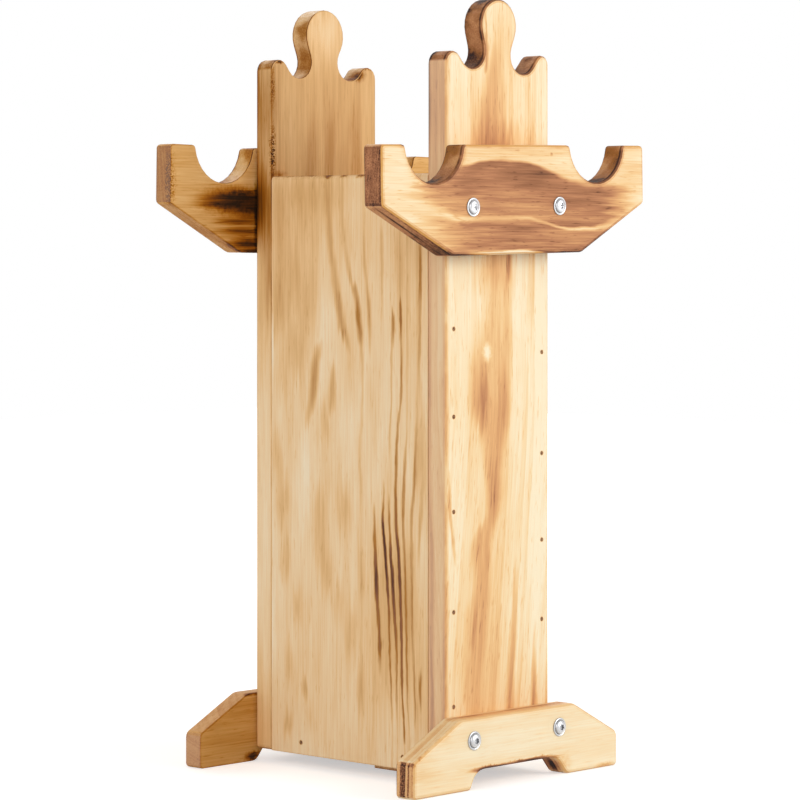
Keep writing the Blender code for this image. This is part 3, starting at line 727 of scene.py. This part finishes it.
for name, x in (("left_side_panel", -63.3), ("right_side_panel", 60.5)):
    torched_pine(
        name, SIDEWAYS, pith=(x - 40, 52, 0), tones=HONEY_TONES[:6] + PINE_TONES[6:], ring_width=8.5, bare=0.13,
        wander=2.2, press=1.18, rings=0.035, end_grain=0.1, arris=0.06, streaks=0.20, fibre=0.24, flecks=0.10,
        blotches=0.22,
        strokes=[
            ((x, y, z), (THROUGH, wide, long), PATCH_DEPTH * weight) for y, z, wide, long, weight in TAN_PATCHES
        ],
        bands=[
            (softness, [(y, z, LINE_SPREAD * half, min(1.0, LINE_DEPTH * dark)) for y, z, half, dark in line])
            for softness, line in HARD_LINES
        ],
        marks=[((x, y, 482.5), (THROUGH, wide, 2.6), 1.0) for y, wide in ((24, 6.5), (5.6, 5.5), (-13, 7))]
        + [((x, 50, 484), (THROUGH, 60, 2.0), 0.8), ((x, -30, 484), (THROUGH, 50, 2.0), 0.6)],
        nails=[(x, y, 20.5) for y in (-60.3, 53.6)],
    )


# Floor and cleat: the floor lies between the panels, and a thin cleat is glued under it. Both
# are offcuts of the same pine, left plainer than the rest.

torched_pine("floor_board", SIDEWAYS, pith=(0, 0, -30), bare=0.2)
torched_pine("floor_cleat", LYING, pith=(0, -40, -30), bare=0.25, ring_width=3.0, end_grain=0.05)


# Bow bars: two sawn cross bars with a round notch at each side for a bow. Their faces are
# torched the most, between two year rings that swing along the bar, and the end grain of the
# notches has burnt dark.

def sawn_notches(*centres):
    """The walls of the round notches, from their centres and radius, and their edges, rounded 4 mm wide."""
    def where(tree, place):
        nearest = 0.0
        for x, z, radius in centres:
            off = vectors(tree, "SUBTRACT", place, (x * MM, 0, z * MM))
            far = vectors(tree, "LENGTH", vectors(tree, "MULTIPLY", off, (1, 0, 1)), output=1)
            near = fade(tree, far, (radius + 4.6) * MM, (radius + 3.4) * MM)
            nearest = maths(tree, "MAXIMUM", nearest, near)
        return nearest
    return where


FIELD_WEIGHT = 0.74


def front_bar_figure(tree, board, feathered):
    """The torched field below one ring, with a pale streak along another, and pale ends."""
    place = split(tree, board)
    uneven = centred(tree, noise(tree, board, (1, 1, 0.4), 62, 3.0), 7 * MM)
    height = maths(tree, "SUBTRACT", uneven, place[0])
    top, soft, _ = course(tree, place[2], (
        (486, -110, 9, 0), (487, -80, 6, 0), (489.4, -61, 4, 0), (492.9, -43, 3, 0), (494.1, -20, 3, 0),
        (493.8, 4, 3, 0), (490.2, 22, 3.5, 0), (485.7, 41, 4, 0), (481.1, 59, 5, 0), (477, 84, 7, 0), (476, 110, 9, 0),
    ))
    below = maths(tree, "DIVIDE", maths(tree, "SUBTRACT", top, height), soft)
    along = split(tree, feathered)[2]
    ends = times(tree, fade(tree, along, -136 * MM, -52 * MM), fade(tree, along, 150 * MM, 100 * MM))
    middle, half, weight = course(tree, place[2], (
        (455, -125, 8, 0.3), (451, -90, 8, 0.8), (446.5, -67, 5.2, 0.9), (446.5, -48, 4.2, 0.6),
        (447.6, -24, 3.2, 0.42), (448.2, 4, 3.0, 0.5), (445.1, 28, 2.2, 0.45), (441.3, 50, 1.9, 0.85),
        (439.9, 72, 2.2, 0.9), (441.7, 103, 4.2, 0.75), (446, 125, 6, 0.4),
    ))
    pale = placed(tree, BAND, Across=height, Middle=middle, Half_Width=half, Softness=1, Weight=weight)[0]
    return times(
        tree, fade(tree, below, -0.4, 0.8), ends, fade(tree, below, 2.0, 9.0, 1.12, 0.94),
        maths(tree, "SUBTRACT", 1.0, pale), FIELD_WEIGHT,
    )


torched_pine(
    "front_bow_bar", LYING, pith=(0, -420, 450), ring_width=3.4, wander=2.5, bare=0.095, rings=0.07, blotches=0.14,
    end_grain=0.56, end_bands=0.05, arris=0.34, fibre=0.32, streaks=0.38, flecks=0.18, slope=0.36, amber=0.75,
    figure=front_bar_figure, sawn=sawn_notches((-96.5, 506.8, 32.9), (97.7, 510.4, 32.9)), wall=0.60, char=1.0,
    level=0.16, rims=0.1, honey=0.8,
    strokes=(
        ((10, -126, 500), (110, 20, 12), 0.14),
        ((136, -126, 480), (36, 12, 50), 0.16),
        ((30, -126, 478), (90, 12, 14), 0.30),
        ((-10, -126, 433), (110, 12, 14), 0.46),
        ((90, -126, 430), (60, 12, 14), 0.24),
        ((-64, -126, 480), (40, 12, 14), 0.26),
        ((-128, -116, 440), (60, 2.4, 30), 0.75),
        ((-96, -107, 424), (40, 3, 12), 0.9),
        ((-84, -126, 466), (50, 12, 16), 0.14),
        ((96, -126, 470), (24, 12, 9), 0.26),
        ((-98, -126, 471), (24, 12, 5), 0.34),
        ((-58, -126, 470), (26, 12, 7), 0.40),
        ((-30, -126, 462), (26, 12, 6), 0.36),
        ((62, -126, 458), (26, 12, 9), 0.36),
        ((10, -126, 474), (36, 12, 5), 0.26),
        # Painted highlight: a pale line along the rounded bottom arris, where it turns down towards the floor
        ((-10, -124.8, 420.0), (60, 7, 2.8), -7.0),
        ((72, -126.3, 421), (36, 5, 2.4), 0.8),
    ),
    bands=(
        (1.0, (
            (-452, -100, 2.2, 0.0), (-452, -85, 2.4, 0.20), (-441, -60, 3.2, 0.24), (-437, -30, 3.2, 0.22),
            (-438, 20, 3, 0.26), (-434, 60, 3, 0.22), (-433, 100, 2, 0.0),
        )),
        (0.9, (
            (-424.4, -62, 1.6, 0.0), (-424.6, -35, 2.4, 0.45), (-424.6, 10, 3.2, 0.60), (-424.4, 40, 3.4, 0.70),
            (-424.0, 75, 3.0, 0.62), (-424.6, 100, 2, 0.1),
        )),
    ),
    marks=(
        ((41, -126, 499), (2.2, 4, 2.2), 0.55),
        ((-96.5, -127, 506.8), (42, 9, 42), 2.4),
        ((97.7, -127, 510.4), (41, 9, 41), 1.6),
    ),
)
torched_pine(
    "rear_bow_bar", LYING, pith=(0, 420, 450), tones=GOLDEN_TONES, ring_width=3.4, wander=2.5, bare=0.33, rings=0.08,
    end_grain=0.20, arris=0.20, fibre=0.30, streaks=0.34, slope=0.12, amber=0.30,
    greyed=("End", 0.5, (0.450, 0.255, 0.160, 1)), blotches=0.12, flecks=0.14,
    sawn=sawn_notches((96.3, 507.1, 32.9), (-97.9, 510.1, 32.9)), wall=0.46, char=0.8,
    rims=0.2, level=0.1, honey=0.2,
    strokes=(
        ((-108, 108, 463), (44, 8, 8), 0.70),
        ((-84, 108, 446), (46, 8, 5), 0.60),
        ((-80, 108, 438), (50, 8, 4.5), 0.65),
        ((-70, 108, 429), (36, 8, 7), 0.60),
        ((-62, 108, 440), (56, 12, 42), 0.34),
        ((-62, 108, 421), (22, 10, 4), 0.70),
        ((60, 108, 452), (60, 8, 16), 0.60),
        ((0, 126, 455), (110, 8, 20), 0.50),
    ),
    marks=(
        ((-157, 110, 478), (8, 5.4, 36), 1.0, True),
        ((-86, 108, 463), (56, 9, 16), 1.25),
        ((-68, 108, 459), (22, 9, 16), 0.60),
        ((-62, 108, 450), (4, 8, 44), 0.90),
        ((-72, 108, 425), (26, 8, 7), 0.45),
    ),
)


# Feet: sawn cross bars that carry the stand, with an arch so that they rest on their ends.
# They are paler than the bars, with char only along the arch and the upper edges.

torched_pine(
    "front_foot", LYING, pith=(0, 200, 20), ring_width=6.3, wander=2.4, bare=0.035, rings=0.30, slope=0.04,
    end_grain=0.30, end_bands=0.46, arris=0.12, amber=0.40, blotches=0.14, flecks=0.06, fibre=0.2,
    strokes=(
        ((-112, -126, 20), (30, 12, 24), 0.14),
        ((-90, -126, 44), (12, 8, 7), 0.16),
        ((0, -116, 57.5), (150, 14, 3.4), 0.62),
        ((-30, -125, 15.2), (40, 7, 3.2), 1.5),
        ((26, -125, 15.8), (36, 7, 2.8), 1.6),
    ),
    marks=(
        ((-113, -125.6, 32), (3.4, 3, 2.6), 0.75),
        ((-106, -125.8, 37), (4.0, 2.6, 2.4), 0.85),
        ((-99, -125.6, 43), (3.4, 2.6, 2.4), 0.70),
        ((-120, -124, 27), (4, 6, 3), 0.75),
        ((-121, -116, 28), (3, 12, 2.4), 0.8),
        ((-34, -124.6, 15.4), (24, 6, 3.4), 1.2),
        ((2, -124.6, 16.0), (26, 6, 3.0), 1.0),
        ((30, -124.6, 16.8), (20, 6, 3.0), 0.9),
        ((56, -114, 9), (18, 18, 14), 0.95),
        ((48, -110, 14), (12, 14, 6), 0.5),
        ((108, -126, 2), (16, 5, 3), 0.4),
    ),
)
torched_pine(
    "rear_foot", LYING, pith=(0, 60, 190), tones=GOLDEN_TONES, ring_width=4.2, bare=0.43, rings=0.12,
    end_grain=0.03, end_bands=0.05, arris=0.16, slope=0.04, side=0.02,
    greyed=("End", 0.5, (0.580, 0.345, 0.250, 1)),
    marks=(((-66, 108, 4), (14, 10, 6), 0.9), ((-70, 108, 56), (40, 5, 3), 0.4)),
)


# Nails: thin steel wire, driven through the boards and punched just below their surface. The
# torch and the varnish have darkened their heads.

burnt_steel, tree = new_material("burnt_nail_steel")
place = add(tree, "ShaderNodeTexCoord").outputs["Object"]
crust = noise(tree, place, (1, 1, 1), 900, 3.0)
colour = tint(tree, fade(tree, crust, 0.35, 0.65), (0.110, 0.050, 0.022, 1), (0.340, 0.180, 0.090, 1))
bump = add(tree, "ShaderNodeBump", {"Strength": 0.3, "Distance": 0.1 * MM, "Height": crust})
shader = add(tree, "ShaderNodeBsdfPrincipled", {
    "Base Color": colour,
    "Metallic": 0.35,
    "Roughness": fade(tree, crust, 0.3, 0.7, 0.75, 0.55),
    "Normal": bump.outputs[0],
})
add(tree, "ShaderNodeOutputMaterial", {"Surface": shader.outputs[0]})
for name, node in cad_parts.items():
    if "nail" in name:
        for slot in node.material_slots:
            slot.material = burnt_steel


# Screws: pan heads with a wide flange, pressed from steel wire and plated with bright zinc. The
# bars' have a cross recess and the feet's a star, and all of them hold to the end boards.

HEAD_HEIGHT = 3.0
HEAD_PROFILE = (  # height and radius of each ring, from the flange's lower edge to the top
    (0.0, 7.2), (0.12, 7.38), (0.5, 7.4), (0.8, 7.15), (0.92, 6.75), (0.90, 6.45), (0.62, 6.0), (0.62, 5.7),
    (1.0, 5.52), (1.5, 5.38), (2.0, 4.95), (2.45, 4.15), (2.75, 3.1), (2.93, 1.9), (3.0, 0.7),
)
HEAD_SIDES = 48
RECESS_MIDDLE = 2.4  # height of the middle of the cutter
CROSS_CORE = 1.3
CROSS_WING = 2.4
STAR_RADIUS = 2.9
STAR_DEPTH = 1.9
SHANK_RADIUS = 2.4
SHANK_LENGTH = 60.0
TIP = ((6.0, 0.35), (1.0, 0.2))  # length of each step of the point, and what it narrows to
# How dark the painted shade is in the groove round the flange and in the recess
GROOVE_PAINTED_SHADE = 0.60
RECESS_PAINTED_SHADE = 0.30


def pick_faces(piece, wanted):
    """In edit mode, select only the faces that are wanted."""
    bpy.ops.object.mode_set(mode="OBJECT")
    for group in (piece.data.vertices, piece.data.edges, piece.data.polygons):
        for part in group:
            part.select = False
    for face in piece.data.polygons:
        face.select = wanted(face)
    bpy.ops.object.mode_set(mode="EDIT")
    bpy.ops.mesh.select_mode(type="FACE")


def draw_out(step, scale):
    """Extrude the selected face along Z and scale its new ring."""
    bpy.ops.mesh.extrude_region_move(TRANSFORM_OT_translate={"value": (0, 0, step * MM)})
    bpy.ops.transform.resize(value=(scale, scale, 1))


def cross_recess():
    """Four tapered wings round a square core."""
    bpy.ops.mesh.primitive_cube_add(size=CROSS_CORE * MM)
    cutter = bpy.context.object
    bpy.ops.object.mode_set(mode="EDIT")
    bpy.ops.transform.resize(value=(1.0, 1.0, 1.5))
    pick_faces(cutter, lambda face: abs(face.normal.z) < 0.5)
    bpy.ops.mesh.extrude_faces_move(TRANSFORM_OT_shrink_fatten={"value": CROSS_WING * MM})
    pick_faces(cutter, lambda face: face.normal.z < -0.5)
    bpy.ops.transform.resize(value=(0.5, 0.5, 1))
    bpy.ops.object.mode_set(mode="OBJECT")
    return cutter


def star_recess():
    """A round hole with six lobes, narrowing a little towards its bottom."""
    bpy.ops.mesh.primitive_circle_add(vertices=12, radius=STAR_RADIUS * MM, fill_type="NGON")
    cutter = bpy.context.object
    for vertex in cutter.data.vertices:
        vertex.select = vertex.index % 2 == 1
    for edge in cutter.data.edges:
        edge.select = False
    for face in cutter.data.polygons:
        face.select = False
    bpy.ops.object.mode_set(mode="EDIT")
    bpy.ops.mesh.select_mode(type="VERT")
    bpy.ops.transform.resize(value=(0.70, 0.70, 1))
    bpy.ops.mesh.select_all(action="SELECT")
    bpy.ops.transform.translate(value=(0, 0, STAR_DEPTH / 2 * MM))
    draw_out(-STAR_DEPTH, 0.9)
    bpy.ops.mesh.select_all(action="SELECT")
    bpy.ops.mesh.normals_make_consistent(inside=False)
    bpy.ops.object.mode_set(mode="OBJECT")
    return cutter


def pan_head_screw(recess):
    """One screw with its flange's underside at the origin and its head upwards."""
    flange_radius = HEAD_PROFILE[0][1]
    bpy.ops.mesh.primitive_circle_add(vertices=HEAD_SIDES, radius=flange_radius * MM, fill_type="NGON")
    model = bpy.context.object
    bpy.ops.object.mode_set(mode="EDIT")
    bpy.ops.mesh.select_mode(type="FACE")
    bpy.ops.mesh.select_all(action="SELECT")
    for (height, radius), (next_height, next_radius) in zip(HEAD_PROFILE, HEAD_PROFILE[1:]):
        draw_out(next_height - height, next_radius / radius)
    bpy.ops.mesh.select_all(action="SELECT")
    bpy.ops.mesh.normals_make_consistent(inside=False)
    pick_faces(model, lambda face: face.normal.z < -0.9 and face.center.z < 0.01 * MM)
    bpy.ops.mesh.inset(thickness=(flange_radius - SHANK_RADIUS) * MM)
    draw_out(sum(length for length, _ in TIP) - SHANK_LENGTH, 1.0)
    for length, narrowing in TIP:
        draw_out(-length, narrowing)
    bpy.ops.object.mode_set(mode="OBJECT")
    cutter = recess()
    cutter.location.z = RECESS_MIDDLE * MM
    bpy.context.view_layer.objects.active = model
    hollow = model.modifiers.new("recess", "BOOLEAN")
    hollow.operation = "DIFFERENCE"
    hollow.solver = "EXACT"
    hollow.object = cutter
    bpy.ops.object.select_all(action="DESELECT")
    model.select_set(True)
    bpy.ops.object.modifier_apply(modifier="recess")
    bpy.data.objects.remove(cutter)
    bpy.ops.object.shade_smooth_by_angle(angle=math.radians(35))
    # Painted shade: the groove round the flange and the recess are marked, to be darkened in the zinc's colour
    painted_shade = model.data.attributes.new("painted_shade", "FLOAT", "POINT")
    for vertex in model.data.vertices:
        radius = math.hypot(vertex.co.x, vertex.co.y) / MM
        height = vertex.co.z / MM
        in_groove = 5.5 < radius < 6.2 and 0.5 < height < 0.8
        in_recess = radius < 3.1 and 0 < height < 2.7
        painted_shade.data[vertex.index].value = GROOVE_PAINTED_SHADE if in_groove else RECESS_PAINTED_SHADE if in_recess else 0.0
    return model


zinc, tree = new_material("bright_zinc")
coordinates = add(tree, "ShaderNodeTexCoord").outputs
painted_shade = add(tree, "ShaderNodeAttribute", attribute_name="painted_shade").outputs["Fac"]
# Painted shade: the head's steep sides are darkened in the colour, on top of the painted shade in the groove and
# recess; the frost is the plating's own unevenness
outward = split(tree, coordinates["Normal"])[1]
painted_side_shade = fade(tree, maths(tree, "ABSOLUTE", outward), 0.96, 0.30)
frost = noise(tree, coordinates["Object"], (1, 1, 1), 1400, 2.0)
painted_shade_and_frost = maths(tree, "MAXIMUM", painted_shade, times(tree, painted_side_shade, 0.55))
painted_shade_and_frost = maths(tree, "ADD", painted_shade_and_frost, centred(tree, frost, 0.18))
shader = add(tree, "ShaderNodeBsdfPrincipled", {
    "Base Color": tint(tree, painted_shade_and_frost, (0.58, 0.59, 0.61, 1), (0.15, 0.15, 0.155, 1)),
    "Metallic": 1.0,
    "Roughness": fade(tree, painted_shade_and_frost, 0.0, 1.0, 0.30, 0.5),
})
add(tree, "ShaderNodeOutputMaterial", {"Surface": shader.outputs[0]})

for kind, recess, turns in (("bar", cross_recess, (6, -9, 20, 35)), ("foot", star_recess, (4, 14, -8, 25))):
    model = pan_head_screw(recess)
    places = [end + "_" + kind + "_screw_" + side for end in ("front", "rear") for side in ("left", "right")]
    for node, turn in zip(places, turns):
        low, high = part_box(node)
        front = node.startswith("front")
        underside = low.y + HEAD_HEIGHT * MM if front else high.y - HEAD_HEIGHT * MM
        piece = model.copy()
        piece.data = model.data.copy()
        piece.name = node.replace("screw", "pan_head_screw")
        bpy.context.scene.collection.objects.link(piece)
        piece.matrix_world = (
            Matrix.Translation(((low.x + high.x) / 2, underside, (low.z + high.z) / 2))
            @ Matrix.Rotation(math.radians(90 if front else -90), 4, "X")
            @ Matrix.Rotation(math.radians(turn), 4, "Z")
        )
        bpy.ops.object.select_all(action="DESELECT")
        piece.select_set(True)
        bpy.context.view_layer.objects.active = piece
        bpy.ops.object.transform_apply(location=True, rotation=True, scale=True)
        piece.data.materials.clear()
        piece.data.materials.append(zinc)
        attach(piece, "root")
        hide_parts(node)
    bpy.data.objects.remove(model)
